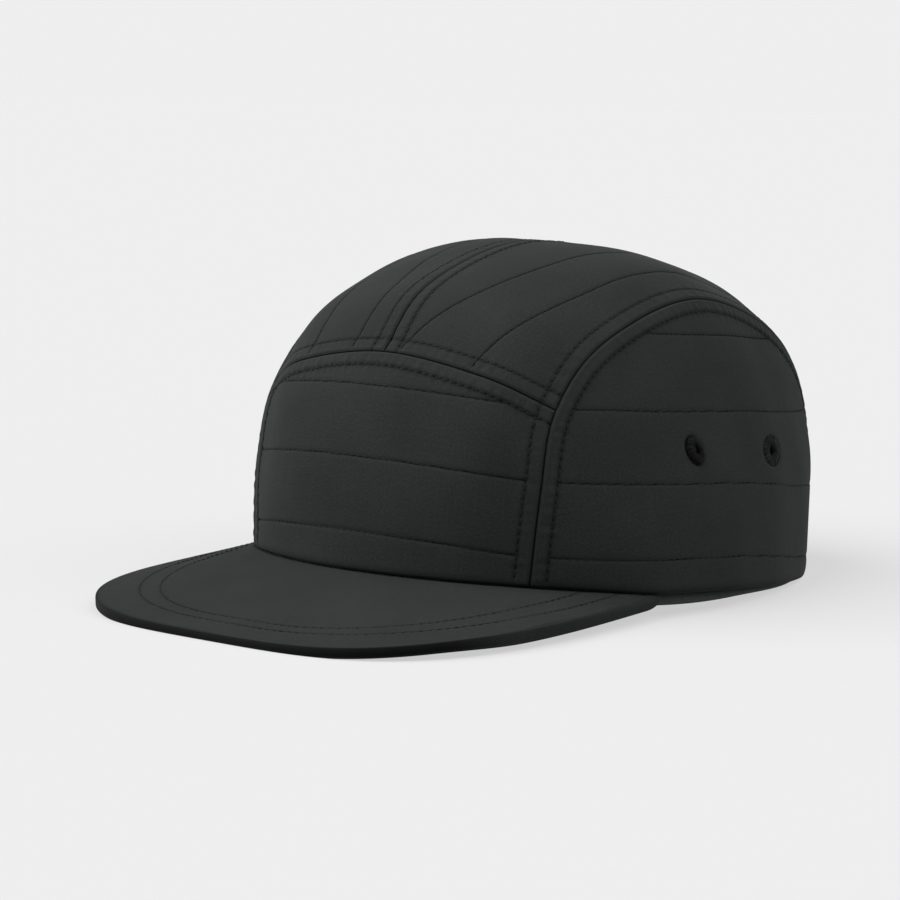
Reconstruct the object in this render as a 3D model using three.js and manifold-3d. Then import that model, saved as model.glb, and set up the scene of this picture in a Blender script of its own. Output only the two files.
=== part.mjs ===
// A soft five panel cap with a short stitched peak. Millimetres, +Z up.
// The peak points to -Y and the wearer's left is +X. The cap rests on z = 0, on the back of its
// hem and the front of its peak, and its origin is on the floor under the middle of its box.

import * as THREE from "three";
import { mergeVertices } from "three/addons/utils/BufferGeometryUtils.js";
import Module from "manifold-3d";

const wasm = await Module();
wasm.setup();

// Crown, measured outside the cloth. The reaches run from the crown's centre to its hem.
const CROWN_WIDTH = 177.5;
const FRONT_REACH = 94.5;
const BACK_REACH = 100;
const CROWN_HEIGHT = 107.5;
const FRONT_SQUARENESS = 2.1;
const BACK_SQUARENESS = 2.25;
const CLOTH = 2;
const SEAM_GAP = 0.3;

// Where the side seams meet the hem, in degrees round the crown from its front
const SIDE_SEAM_FRONT = 37.5;
const SIDE_SEAM_BACK = 144;

// How far the hem's front stands above its sides, on the peak
const HEM_RISE = 2.1;
const HEM_RISE_POWER = 5;

// How far each panel swells out between its seams. A lower power makes a fuller swell.
const FRONT_SWELL = 2;
const FRONT_SWELL_POWER = 0.7;
const TOP_SWELL = 3.9;
const TOP_SWELL_POWER = 0.6;
const SIDE_SWELL = 7.5;
const SIDE_SWELL_POWER = 0.8;

// How far the lower back of each side panel is drawn in, and where: how fast up, and how far back
const SIDE_TUCK = 1.5;
const SIDE_TUCK_RISE = 1.4;
const SIDE_TUCK_BACK = 2.2;

// Peak: its reach ahead of the crown, and where its ends meet the hem, in degrees from the front
const PEAK_REACH = 63;
const PEAK_END = 65;
const PEAK_THICKNESS = 3.3;
const PEAK_DROP = 14.7;
const PEAK_SQUARENESS = 3.55;
const PEAK_SIDE_EASE = 0.6;

// Sweatband, and how much of it shows below the hem beside the peak
const BAND_HEIGHT = 30;
const BAND_THICKNESS = 1.2;
const BAND_CLEARANCE = 0.3;
const BAND_SHOW = 3.3;
const BAND_SHOW_END = 130;

// Sewn eyelets
const EYELET_HOLE_RADIUS = 1.7;
const EYELET_WALL = 1.6;
const EYELET_LIP = 1.5;
const EYELET_RAISE = 0.9;
const EYELET_CLEARANCE = 0.3;
const EYELET_CUT = 6;

// How far the cap's weight flattens the cloth where it rests
const SETTLE = 1;

// Seam tables. across is a share of the half width, along of the front reach (below 0) or the back
// reach (above 0), and up of the height. The side seam's second row is where three panels meet.
const SIDE_SEAM = [
  { across: 0.661, along: -0.776, up: 0.287 },
  { across: 0.659, along: -0.713, up: 0.527 },
  { across: 0.673, along: -0.467, up: 0.728 },
  { across: 0.696, along: 0.047, up: 0.859 },
  { across: 0.701, along: 0.565, up: 0.725 },
  { across: 0.644, along: 0.848, up: 0.417 },
];
const FRONT_SEAM = [
  { across: 0, along: -0.862, up: 0.661 },
  { across: 0.422, along: -0.826, up: 0.611 },
];
const CENTRE_SEAM = [
  { across: 0, along: -0.65, up: 0.857 },
  { across: 0, along: -0.157, up: 0.999 },
  { across: 0, along: 0.335, up: 0.972 },
  { across: 0, along: 0.709, up: 0.851 },
  { across: 0, along: 0.959, up: 0.519 },
];

// Eyelets as shares of the side panel, back along the hem and up to the arch
const EYELETS = [
  { name: "front", back: 0.342, up: 0.44 },
  { name: "back", back: 0.592, up: 0.425 },
];

// Facets: along the side seam below and above the panels' meeting point, and across each half panel
const CORNER_STEPS = 8;
const ARCH_STEPS = 32;
const ARCH_FOOT = 12;
const HALF_STEPS = 10;
const PEAK_COLUMNS = 36;
const PEAK_ROWS = 7;
const PEAK_RIM_CROWDING = 1.6;
const BAND_ROWS = 3;
const EYELET_STEPS = 16;
const DENSE = 160;
const WELD = 1e-5;

const HALF_WIDTH = CROWN_WIDTH / 2;

// Crown surface

function place({ across, along, up }) {
  const reach = along < 0 ? FRONT_REACH : BACK_REACH;
  return new THREE.Vector3(across * HALF_WIDTH, along * reach, up * CROWN_HEIGHT);
}

function mirrored(point) {
  return new THREE.Vector3(-point.x, point.y, point.z);
}

// Height of the hem at a distance x from the middle, ahead of the peak's ends
function hemHeight(x) {
  const share = Math.min(1, Math.abs(x) / hemOutline(PEAK_END).x);
  return HEM_RISE * (1 - share ** HEM_RISE_POWER);
}

// Outline of the hem in plan, at an angle in degrees from the front towards the wearer's left
function hemOutline(angle, inset = 0) {
  const turn = THREE.MathUtils.degToRad(angle);
  const dx = Math.sin(turn);
  const dy = -Math.cos(turn);
  const reach = dy < 0 ? FRONT_REACH : BACK_REACH;
  const power = dy < 0 ? FRONT_SQUARENESS : BACK_SQUARENESS;
  const across = Math.abs(dx / (HALF_WIDTH - inset)) ** power;
  const along = Math.abs(dy / (reach - inset)) ** power;
  const radius = (across + along) ** (-1 / power);
  return new THREE.Vector3(radius * dx, radius * dy, 0);
}

function hemPoint(angle) {
  const point = hemOutline(angle);
  if (point.y < 0) point.z = hemHeight(point.x);
  return point;
}

// Direction out of the cloth, the same for every panel, so that neighbours meet edge to edge
function outward(point) {
  const reach = point.y < 0 ? FRONT_REACH : BACK_REACH;
  const up = Math.max(0, point.z) / CROWN_HEIGHT ** 2;
  return new THREE.Vector3(point.x / HALF_WIDTH ** 2, point.y / reach ** 2, up).normalize();
}

function inside(point, depth) {
  return point.clone().addScaledVector(outward(point), -depth);
}

// Points at even distances along a curve, between two shares of its length in knots
function spaced(curve, from, to, steps) {
  const dense = [];
  for (let i = 0; i <= DENSE; i++) dense.push(curve.getPoint(from + ((to - from) * i) / DENSE));
  return evenly(dense, steps);
}

function evenly(points, steps) {
  const run = [0];
  for (let i = 1; i < points.length; i++) run.push(run[i - 1] + points[i].distanceTo(points[i - 1]));
  const total = run[run.length - 1];
  const result = [];
  let k = 0;
  for (let i = 0; i <= steps; i++) {
    const want = (total * i) / steps;
    while (k < points.length - 2 && run[k + 1] < want) k++;
    const share = (want - run[k]) / (run[k + 1] - run[k]);
    result.push(points[k].clone().lerp(points[k + 1], Math.min(1, share)));
  }
  return result;
}

function hemArc(from, to, steps) {
  const dense = [];
  for (let i = 0; i <= DENSE; i++) dense.push(hemPoint(from + ((to - from) * i) / DENSE));
  return evenly(dense, steps);
}

function spline(points) {
  return new THREE.CatmullRomCurve3(points, false, "catmullrom", 0.5);
}

// Seams as rows of points that neighbouring panels share
const sideKnots = [hemPoint(SIDE_SEAM_FRONT), ...SIDE_SEAM.map(place), hemPoint(SIDE_SEAM_BACK)];
const meeting = sideKnots[2];
const meetingShare = 2 / (sideKnots.length - 1);
const sideCurve = spline(sideKnots);
const cornerSeam = spaced(sideCurve, 0, meetingShare, CORNER_STEPS);
const archSeam = spaced(sideCurve, meetingShare, 1, ARCH_STEPS);
const sideSeam = [...cornerSeam, ...archSeam.slice(1)];

const [frontCentre, frontQuarter] = FRONT_SEAM.map(place);
const frontCurve = spline([mirrored(meeting), mirrored(frontQuarter), frontCentre, frontQuarter, meeting]);
const frontSeam = spaced(frontCurve, 0.5, 1, HALF_STEPS);
const centreSeam = spaced(spline([frontCentre, ...CENTRE_SEAM.map(place), hemPoint(180)]), 0, 1, ARCH_STEPS);

// Surface between four rows of points that share their corners. grid[row][column], row 0 is bottom.
function patch(bottom, top, left, right) {
  const rows = left.length - 1;
  const columns = bottom.length - 1;
  const grid = [];
  for (let i = 0; i <= rows; i++) {
    const v = i / rows;
    const row = [];
    for (let j = 0; j <= columns; j++) {
      const u = j / columns;
      const across = left[i].clone().lerp(right[i], u);
      const upward = bottom[j].clone().lerp(top[j], v);
      const low = bottom[0].clone().lerp(bottom[columns], u);
      const high = top[0].clone().lerp(top[columns], u);
      row.push(across.add(upward).sub(low.lerp(high, v)));
    }
    grid.push(row);
  }
  return grid;
}

function surfaceNormal(grid, i, j) {
  const rowAbove = grid[Math.min(i + 1, grid.length - 1)];
  const rowBelow = grid[Math.max(i - 1, 0)];
  const row = grid[i];
  const along = row[Math.min(j + 1, row.length - 1)].clone().sub(row[Math.max(j - 1, 0)]);
  const normal = along.cross(rowAbove[j].clone().sub(rowBelow[j])).normalize();
  return normal.dot(outward(row[j])) < 0 ? normal.negate() : normal;
}

// Swells a patch by swell(u, v) millimetres, which is 0 on its seams
function swollen(grid, swell) {
  const rows = grid.length - 1;
  return grid.map((row, i) =>
    row.map((point, j) =>
      point.clone().addScaledVector(surfaceNormal(grid, i, j), swell(j / (row.length - 1), i / rows)),
    ),
  );
}

const wave = (share) => Math.max(0, Math.sin(Math.PI * share));

// Moves a patch's edges in from their seams by half the gap. cells lists an edge's [row, column]
// pairs in order, and toward is 1 or -1 for the side of that edge on which the panel lies.
function opened(grid, seams) {
  const moved = grid.map((row) => row.map((point) => point.clone()));
  for (const { cells, toward } of seams) {
    cells.forEach(([i, j], k) => {
      const before = cells[Math.max(k - 1, 0)];
      const after = cells[Math.min(k + 1, cells.length - 1)];
      const tangent = grid[after[0]][after[1]].clone().sub(grid[before[0]][before[1]]);
      const away = tangent.cross(outward(grid[i][j])).normalize().multiplyScalar(toward);
      moved[i][j].addScaledVector(away, SEAM_GAP / 2);
    });
  }
  return moved;
}

const columnCells = (grid, column, from = 0, to = grid.length - 1) =>
  Array.from({ length: to - from + 1 }, (_, k) => [from + k, column]);
const rowCells = (grid, row) => grid[row].map((_, j) => [row, j]);

function frontGrid() {
  const bottom = hemArc(-SIDE_SEAM_FRONT, SIDE_SEAM_FRONT, 2 * HALF_STEPS);
  const top = [...frontSeam.slice(1).reverse().map(mirrored), ...frontSeam];
  const grid = patch(bottom, top, cornerSeam.map(mirrored), cornerSeam);
  const full = swollen(grid, (u, v) => FRONT_SWELL * wave(u) ** FRONT_SWELL_POWER * wave(v));
  return opened(full, [
    { cells: columnCells(full, 0), toward: 1 },
    { cells: columnCells(full, full[0].length - 1), toward: -1 },
    { cells: rowCells(full, full.length - 1), toward: 1 },
  ]);
}

// Wearer's left half of the top. Columns run from the centre seam out, rows from the front back.
function topGrid() {
  const bottom = frontSeam;
  const top = hemArc(180, SIDE_SEAM_BACK, HALF_STEPS);
  const grid = patch(bottom, top, centreSeam, archSeam);
  const full = swollen(grid, (u, v) => TOP_SWELL * 4 * u * (1 - u) * wave(v) ** TOP_SWELL_POWER);
  return opened(full, [
    { cells: columnCells(full, 0), toward: 1 },
    { cells: columnCells(full, full[0].length - 1), toward: -1 },
    { cells: rowCells(full, 0), toward: -1 },
  ]);
}

// Wearer's left side. Columns run from the front back, rows from the hem up to the arch.
function sideGrid() {
  const last = sideSeam.length - 1;
  const archColumns = last - 2 * ARCH_FOOT;
  const bottom = hemArc(SIDE_SEAM_FRONT, SIDE_SEAM_BACK, archColumns);
  const top = sideSeam.slice(ARCH_FOOT, last - ARCH_FOOT + 1);
  const left = sideSeam.slice(0, ARCH_FOOT + 1);
  const right = sideSeam.slice(last - ARCH_FOOT).reverse();
  const grid = patch(bottom, top, left, right);
  const full = swollen(grid, (u, v) => {
    const swell = wave(v ** SIDE_SWELL_POWER) * wave(u) ** SIDE_SWELL_POWER;
    const tuck = wave(Math.min(1, SIDE_TUCK_RISE * v)) * wave(u ** SIDE_TUCK_BACK);
    return SIDE_SWELL * swell - SIDE_TUCK * tuck;
  });
  const rows = full.length - 1;
  const columns = full[0].length - 1;
  const arch = [
    ...columnCells(full, 0),
    ...rowCells(full, rows).slice(1),
    ...columnCells(full, columns).reverse().slice(1),
  ];
  return opened(full, [{ cells: arch, toward: 1 }]);
}

// Placing the cap on the floor

const frontTip = FRONT_REACH + PEAK_REACH;
const tipFall = PEAK_DROP + PEAK_THICKNESS + SEAM_GAP - HEM_RISE;
const pitch = Math.atan2(tipFall, frontTip + BACK_REACH);

function resting(point) {
  const y = point.y * Math.cos(pitch) + point.z * Math.sin(pitch);
  const lift = BACK_REACH * Math.sin(pitch) - SETTLE;
  const z = point.z * Math.cos(pitch) - point.y * Math.sin(pitch) + lift;
  return new THREE.Vector3(point.x, y, Math.max(0, z));
}

// Solids

// Closed geometry from a list of points and triangles, with its faces turned out
function closed(points, triangles) {
  let volume = 0;
  for (const [a, b, c] of triangles) {
    volume += points[a].dot(points[b].clone().cross(points[c]));
  }
  const index = volume > 0 ? triangles.flat() : triangles.flatMap(([a, b, c]) => [a, c, b]);
  const geometry = new THREE.BufferGeometry();
  geometry.setAttribute("position", new THREE.Float32BufferAttribute(points.flatMap((p) => p.toArray()), 3));
  geometry.setIndex(index);
  return geometry;
}

// Wall between two grids of the same size. A loop joins its last column to its first.
function wall(outer, inner, loop = false) {
  const rows = outer.length;
  const columns = outer[0].length;
  const points = [...outer.flat(), ...inner.flat()];
  const at = (side, i, j) => side * rows * columns + i * columns + (j % columns);
  const triangles = [];
  const quad = (a, b, c, d) => triangles.push([a, b, c], [a, c, d]);
  const spans = loop ? columns : columns - 1;
  for (let i = 0; i < rows - 1; i++) {
    for (let j = 0; j < spans; j++) {
      quad(at(0, i, j), at(0, i, j + 1), at(0, i + 1, j + 1), at(0, i + 1, j));
      quad(at(1, i, j), at(1, i + 1, j), at(1, i + 1, j + 1), at(1, i, j + 1));
    }
  }
  for (let j = 0; j < spans; j++) {
    quad(at(0, 0, j), at(1, 0, j), at(1, 0, j + 1), at(0, 0, j + 1));
    quad(at(0, rows - 1, j), at(0, rows - 1, j + 1), at(1, rows - 1, j + 1), at(1, rows - 1, j));
  }
  for (let i = 0; i < rows - 1 && !loop; i++) {
    quad(at(0, i, 0), at(0, i + 1, 0), at(1, i + 1, 0), at(1, i, 0));
    quad(at(0, i, columns - 1), at(1, i, columns - 1), at(1, i + 1, columns - 1), at(0, i + 1, columns - 1));
  }
  return closed(points, triangles);
}

function panel(grid) {
  const outer = grid.map((row) => row.map(resting));
  const inner = grid.map((row) => row.map((point) => resting(inside(point, CLOTH))));
  return wall(outer, inner);
}

function toManifold(geometry) {
  const bare = new THREE.BufferGeometry();
  bare.setAttribute("position", geometry.getAttribute("position"));
  bare.setIndex(geometry.getIndex());
  const merged = mergeVertices(bare, WELD);
  const vertProperties = new Float32Array(merged.getAttribute("position").array);
  const triVerts = new Uint32Array(merged.getIndex().array);
  return new wasm.Manifold(new wasm.Mesh({ numProp: 3, vertProperties, triVerts }));
}

function cut(geometry, tools) {
  let solid = toManifold(geometry);
  for (const tool of tools) solid = solid.subtract(toManifold(tool));
  const mesh = solid.getMesh();
  const result = new THREE.BufferGeometry();
  result.setAttribute("position", new THREE.BufferAttribute(new Float32Array(mesh.vertProperties), 3));
  result.setIndex(new THREE.BufferAttribute(new Uint32Array(mesh.triVerts), 1));
  return result;
}

// Eyelets: a ring on the cloth and a barrel through it, about a local +Y axis that points out

function eyeletRing() {
  const low = EYELET_CLEARANCE;
  const high = EYELET_CLEARANCE + EYELET_RAISE;
  const barrel = EYELET_HOLE_RADIUS + EYELET_WALL;
  const lip = barrel + EYELET_LIP;
  const profile = [
    [EYELET_HOLE_RADIUS, -CLOTH],
    [barrel, -CLOTH],
    [barrel, low],
    [lip, low],
    [barrel, high],
    [EYELET_HOLE_RADIUS, low],
    [EYELET_HOLE_RADIUS, -CLOTH],
  ];
  return new THREE.LatheGeometry(profile.map(([x, y]) => new THREE.Vector2(x, y)), EYELET_STEPS);
}

function eyeletCutter() {
  const radius = EYELET_HOLE_RADIUS + EYELET_WALL + EYELET_CLEARANCE;
  return new THREE.CylinderGeometry(radius, radius, EYELET_CUT * CLOTH, EYELET_STEPS);
}

// Frame of an eyelet on the resting side panel: its place and the turn of +Y to the cloth's normal
function eyeletFrame(grid, { back, up }, side) {
  const row = Math.round(up * (grid.length - 1));
  const column = back * (grid[0].length - 1);
  const j = Math.floor(column);
  const point = grid[row][j].clone().lerp(grid[row][Math.min(j + 1, grid[0].length - 1)], column - j);
  const normal = surfaceNormal(grid, row, Math.round(column));
  const foot = resting(point);
  const tip = resting(point.clone().add(normal));
  const direction = tip.sub(foot).normalize();
  foot.x *= side;
  direction.x *= side;
  const turn = new THREE.Quaternion().setFromUnitVectors(new THREE.Vector3(0, 1, 0), direction);
  return new THREE.Matrix4().compose(foot, turn, new THREE.Vector3(1, 1, 1));
}

// Peak

// Outline of the peak from one end to the other, as a squared half oval ahead of its ends
function peakOutline() {
  const end = hemOutline(PEAK_END);
  const reach = frontTip + end.y;
  const dense = [];
  for (let i = 0; i <= DENSE; i++) {
    const turn = (Math.PI * i) / DENSE;
    const x = -Math.sign(Math.cos(turn)) * end.x * Math.abs(Math.cos(turn)) ** (2 / PEAK_SQUARENESS);
    const y = end.y - reach * Math.abs(Math.sin(turn)) ** (2 / PEAK_SQUARENESS);
    dense.push(new THREE.Vector3(x, y, 0));
  }
  return evenly(dense, PEAK_COLUMNS);
}

// Where the hem passes a distance x from the middle, ahead of the peak's ends
function hemAhead(x) {
  const share = Math.min(1, Math.abs(x) / HALF_WIDTH);
  return -FRONT_REACH * (1 - share ** FRONT_SQUARENESS) ** (1 / FRONT_SQUARENESS);
}

function peakTop(x, y) {
  const ahead = Math.max(0, hemAhead(x) - y);
  const share = Math.min(1, Math.abs(x) / hemOutline(PEAK_END).x);
  const slope = (PEAK_DROP / PEAK_REACH) * (1 - PEAK_SIDE_EASE * share ** 2);
  return hemHeight(x) - SEAM_GAP - ahead * slope;
}

function peak() {
  const outline = peakOutline();
  const root = [];
  for (let i = 0; i <= DENSE; i++) {
    root.push(hemOutline(-PEAK_END + (2 * PEAK_END * i) / DENSE, CLOTH));
  }
  const rootLine = evenly(root, PEAK_COLUMNS);
  const top = [];
  const under = [];
  for (let i = 0; i <= PEAK_ROWS; i++) {
    const share = 1 - (1 - i / PEAK_ROWS) ** PEAK_RIM_CROWDING;
    const row = rootLine.map((point, j) => {
      const spot = point.clone().lerp(outline[j], share);
      return spot.setZ(peakTop(spot.x, spot.y));
    });
    top.push(row.map(resting));
    under.push(row.map((point) => resting(point.clone().setZ(point.z - PEAK_THICKNESS))));
  }
  return wall(top, under);
}

// Sweatband

// Point of a rising line of points at a height above the hem, or straight below its foot
function atHeight(line, height) {
  if (height <= line[0].z) return line[0].clone().setZ(height);
  let k = 0;
  while (k < line.length - 2 && line[k + 1].z < height) k++;
  const share = (height - line[k].z) / (line[k + 1].z - line[k].z);
  return line[k].clone().lerp(line[k + 1], Math.min(1, share));
}

// Band round the inside of the hem. It follows the panels' columns, so it lies against them.
function sweatband(front, top, side) {
  const upright = (grid) => grid[0].map((_, j) => grid.map((row) => row[j]));
  const left = [
    ...upright(front).slice(HALF_STEPS),
    ...upright(side).slice(1),
    ...upright(top).map((line) => line.reverse()).reverse().slice(1),
  ];
  const right = left.slice(1, -1).reverse().map((line) => line.map(mirrored));
  const lines = [...left, ...right];
  const rows = (depth) => {
    const ring = (heightOn) => lines.map((line) => inside(atHeight(line, heightOn(line[0])), depth));
    const result = [ring((foot) => foot.z - bandShow(foot))];
    for (let k = 0; k <= BAND_ROWS; k++) {
      result.push(ring((foot) => foot.z + ((BAND_HEIGHT - foot.z) * k) / BAND_ROWS));
    }
    return result.map((row) => row.map(resting));
  };
  const depth = CLOTH + BAND_CLEARANCE;
  return wall(rows(depth), rows(depth + BAND_THICKNESS), true);
}

// How far the band shows below the hem at a point of it: most beside the peak, and none at the back
function bandShow(foot) {
  const angle = THREE.MathUtils.radToDeg(Math.atan2(Math.abs(foot.x), -foot.y));
  return BAND_SHOW * (1 - THREE.MathUtils.smoothstep(angle, PEAK_END, BAND_SHOW_END));
}

// Assembly

const cloth = new THREE.MeshStandardMaterial({ color: 0x3a3d3c, roughness: 0.9, metalness: 0 });
const lining = new THREE.MeshStandardMaterial({ color: 0x303332, roughness: 0.85, metalness: 0 });
const thread = new THREE.MeshStandardMaterial({ color: 0x2a2c2b, roughness: 0.8, metalness: 0 });

function add(group, name, geometry, material) {
  const mesh = new THREE.Mesh(geometry, material);
  mesh.name = name;
  group.add(mesh);
}

function mirroredGrid(grid) {
  return grid.map((row) => row.map(mirrored));
}

const cap = new THREE.Group();
const front = frontGrid();
const top = topGrid();
const side = sideGrid();

add(cap, "front_panel", panel(front), cloth);
add(cap, "top_panel_left", panel(top), cloth);
add(cap, "top_panel_right", panel(mirroredGrid(top)), cloth);

for (const { hand, sign } of [{ hand: "left", sign: 1 }, { hand: "right", sign: -1 }]) {
  const frames = EYELETS.map((eyelet) => eyeletFrame(side, eyelet, sign));
  const grid = sign > 0 ? side : mirroredGrid(side);
  const holes = frames.map((frame) => eyeletCutter().applyMatrix4(frame));
  add(cap, `side_panel_${hand}`, cut(panel(grid), holes), cloth);
  EYELETS.forEach((eyelet, k) => {
    const ring = eyeletRing().applyMatrix4(frames[k]);
    add(cap, `eyelet_${hand}_${eyelet.name}`, ring, thread);
  });
}

add(cap, "peak", peak(), cloth);
add(cap, "sweatband", sweatband(front, top, side), lining);

// The origin goes under the middle of the cap's box
const box = new THREE.Box3().setFromObject(cap);
cap.position.y = -(box.min.y + box.max.y) / 2;

export default cap;
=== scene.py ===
import math

import bpy
import numpy as np
from mathutils import Matrix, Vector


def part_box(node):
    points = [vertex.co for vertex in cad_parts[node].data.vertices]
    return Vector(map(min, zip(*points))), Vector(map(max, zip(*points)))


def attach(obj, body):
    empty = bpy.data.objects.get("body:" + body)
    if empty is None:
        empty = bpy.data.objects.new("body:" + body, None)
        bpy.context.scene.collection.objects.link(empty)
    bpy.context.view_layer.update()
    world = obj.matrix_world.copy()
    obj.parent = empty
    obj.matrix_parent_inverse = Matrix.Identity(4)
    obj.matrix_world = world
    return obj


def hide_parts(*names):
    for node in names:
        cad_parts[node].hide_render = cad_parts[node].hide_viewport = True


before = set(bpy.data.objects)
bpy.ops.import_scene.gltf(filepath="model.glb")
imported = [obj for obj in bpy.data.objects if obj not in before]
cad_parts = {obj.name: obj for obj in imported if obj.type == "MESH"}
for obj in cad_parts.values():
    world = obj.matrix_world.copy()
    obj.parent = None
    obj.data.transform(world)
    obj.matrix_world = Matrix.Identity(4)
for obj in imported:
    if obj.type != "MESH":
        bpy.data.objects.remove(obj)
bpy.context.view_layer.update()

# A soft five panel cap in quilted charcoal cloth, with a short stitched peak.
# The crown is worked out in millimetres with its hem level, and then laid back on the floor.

MM = 0.001

# Crown, measured outside the cloth
CROWN_WIDTH = 177.5
HALF_WIDTH = CROWN_WIDTH / 2
FRONT_REACH = 94.5
BACK_REACH = 100
CROWN_HEIGHT = 107.5
FRONT_SQUARENESS = 2.1
BACK_SQUARENESS = 2.25
CLOTH = 2
SIDE_SEAM_FRONT = 37.5
SIDE_SEAM_BACK = 144
HEM_RISE = 2.1
HEM_RISE_POWER = 5
FRONT_SWELL = 2
FRONT_SWELL_POWER = 0.7
TOP_SWELL = 3.9
TOP_SWELL_POWER = 0.6
SIDE_SWELL = 7.5
SIDE_SWELL_POWER = 0.8
SIDE_TUCK = 1.5
SIDE_TUCK_RISE = 1.4
SIDE_TUCK_BACK = 2.2

# Peak
PEAK_REACH = 63
PEAK_END = 65
PEAK_THICKNESS = 3.3
PEAK_DROP = 14.7
PEAK_SQUARENESS = 3.55
PEAK_SIDE_EASE = 0.6
PEAK_GAP = 0.3

# Sweatband
BAND_HEIGHT = 30
BAND_THICKNESS = 1.2
BAND_CLEARANCE = 0.3
BAND_SHOW = 3.8
BAND_SHOW_END = 130

# Eyelets
EYELET_HOLE_RADIUS = 1.7
EYELET_WALL = 1.3
EYELET_LIP = 1.65
EYELET_RAISE = 0.75
EYELET_OPENING = 1.15
EYELET_WRAPS = 20
EYELET_WRAP_RELIEF = 0.3
EYELET_WRAP_SLANT = 0.3
EYELET_DENT = 0.5
EYELET_DENT_WIDTH = 0.8

# Each eyelet: its place along and up the side panel, its width over its height, and its lean in degrees
EYELETS = {"front": (0.342, 0.434, 0.76, 23), "back": (0.592, 0.4167, 1.3, 18)}

# How far the cap's weight flattens the cloth where it rests
SETTLE = 1

# Seam tables: across is a share of the half width, along of the front or back reach, up of the height
SIDE_SEAM = [
    (0.661, -0.776, 0.287), (0.659, -0.713, 0.527), (0.673, -0.467, 0.728),
    (0.696, 0.047, 0.859), (0.701, 0.565, 0.725), (0.644, 0.848, 0.417),
]
FRONT_SEAM = [(0, -0.862, 0.661), (0.422, -0.826, 0.611)]
CENTRE_SEAM = [
    (0, -0.65, 0.857), (0, -0.157, 0.999), (0, 0.335, 0.972), (0, 0.709, 0.851), (0, 0.959, 0.519),
]

# How the side seam's length is shared between the sides and the top of the side panel
CORNER_SHARE = 8
ARCH_SHARE = 32
FOOT_SHARE = 12

# Seams: the rolled edge, the raised strip over the seam allowance and the topstitching beside it
SEAM_ROLL = 0.6
SEAM_BEAD = 0.12
BEAD_PLACE = 0.9
BEAD_WIDTH = 0.35
SEAM_RAISE = 0.36
STRIP_RISE = (0.3, 1.3)
STRIP_FALL = (-0.2, 1.6)
STITCH_INSET = 5
STITCH_SINK = 0.36
STITCH_WIDTH = 0.7
SEAM_PUCKER = 0.13
PUCKER_LENGTH = 4.2
PUCKER_RISE = (0.6, 2.4)
PUCKER_REACH = 4
LEVEL_REACH = 6

# The hem rolls in, more toward the back, and hangs lower behind the middle of the sides
HEM_ROLL = 1.3
HEM_ROLL_BACK = 4.5
HEM_ROLL_TURN = (-20, 40)
HEM_TUCK = 1.1
HEM_SAG = 1.3
HEM_SAG_HEIGHT = 12
SAG_START = (-5, 40)
SAG_END = (70, 100)
BAND_SAG_END = (45, 65)

# Quilting round the sides and front: height of each line, its rise over the front and its drop behind
QUILT_LEVELS = (11.1, 34.5, 57, 81.1)
QUILT_FRONT_RISE = 3.6
QUILT_BACK_DROPS = (5, 5, 2.2, 2.2)
QUILT_BACK = (-15, 75)
QUILT_SINK = 0.34
QUILT_WIDTH = 0.42
QUILT_HOLLOW = 0.16
QUILT_REACH = 4.5
QUILT_PUCKER = 0.035
QUILT_PUCKER_RISE = 1.2

# Where quilting ends beside a seam, and the stretch over which it starts there
QUILT_END = {"front": STITCH_INSET, "side": STITCH_INSET, "top": 1.6}
QUILT_START = (-1.2, 0.2)

# Fanned lines over each half of the top: the way back, and the share of the way out from the centre seam
TOP_QUILTS = {
    "left": [
        [(0, 0.075), (0.03, 0.125), (0.06, 0.20), (0.12, 0.315), (0.25, 0.445), (0.4, 0.51), (1, 0.36)],
        [(0, 0.515), (0.03, 0.55), (0.11, 0.66), (0.21, 0.72), (0.35, 0.75), (0.5, 0.76), (1, 0.72)],
    ],
    "right": [
        [(0, 0.23), (0.06, 0.204), (0.1, 0.20), (0.2, 0.27), (0.4, 0.35), (1, 0.33)],
        [(0, 0.55), (0.08, 0.535), (0.15, 0.545), (0.3, 0.62), (0.5, 0.69), (1, 0.68)],
    ],
}

# Painted shade at the hem, round the eyelets, on the peak's rim and lip and on the band, as a distance
# from a seam: less is darker
HEM_SHADE = 0.06
HEM_SHADE_SLOPE = 0.39
HEM_SHADE_REACH = 4
EYELET_SHADE = 0.05
EYELET_SHADE_SLOPE = 0.5
EYELET_SHADE_PLACE = 0.15
# The peak's rim has deeper painted shade at the front and the wearer's right than on the left; then its
# deepest painted shade, a painted dark line along its seam and painted light on its foot
RIM_SHADE = {"front": 0.2, "left": 0.44}
RIM_SHADE_LEAST = 0.06
RIM_SEAM_SHADE = 0.14
RIM_SEAM_SHADE_WIDTH = 0.28
RIM_FOOT_PAINTED_LIGHT = 0.12
RIM_FOOT = (0.45, 0.9)
LIP_SHADE = 0.3
LIP_SHADE_BACK = 0.2
LIP_SHADE_SLOPE = 0.15
BAND_SHADE = 0.16
BAND_SHADE_SLOPE = 0.12

# A distance that no crease, seam or needle hole reaches
FAR = 23.3

# Soft unevenness of worn cloth, which starts away from the seams
DENT = 0.5
DENT_LENGTH = 46
DENT_START = (2, 16)

# Stitches
STITCH_PITCH = 2.7
STITCH_FILL = 0.7
THREAD_RADIUS = 0.18
STITCH_LIFT = 0.1
STITCH_DIVE = 0.3
STITCH_SIDES = 5

# Peak stitch rows: half width at the ends, reach from there and squareness
PEAK_ROWS = [(75.7, 109.7, 2.9), (68.8, 105.2, 2.85)]
PEAK_ROW_SINK = 0.07
PEAK_ROW_WIDTH = 0.55
PEAK_PUCKER = 0.05
PEAK_PUCKER_WIDTH = 2.5
PEAK_PUCKER_LENGTH = 5
PEAK_DENT = 0.12
PEAK_DENT_LENGTH = 40

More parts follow.
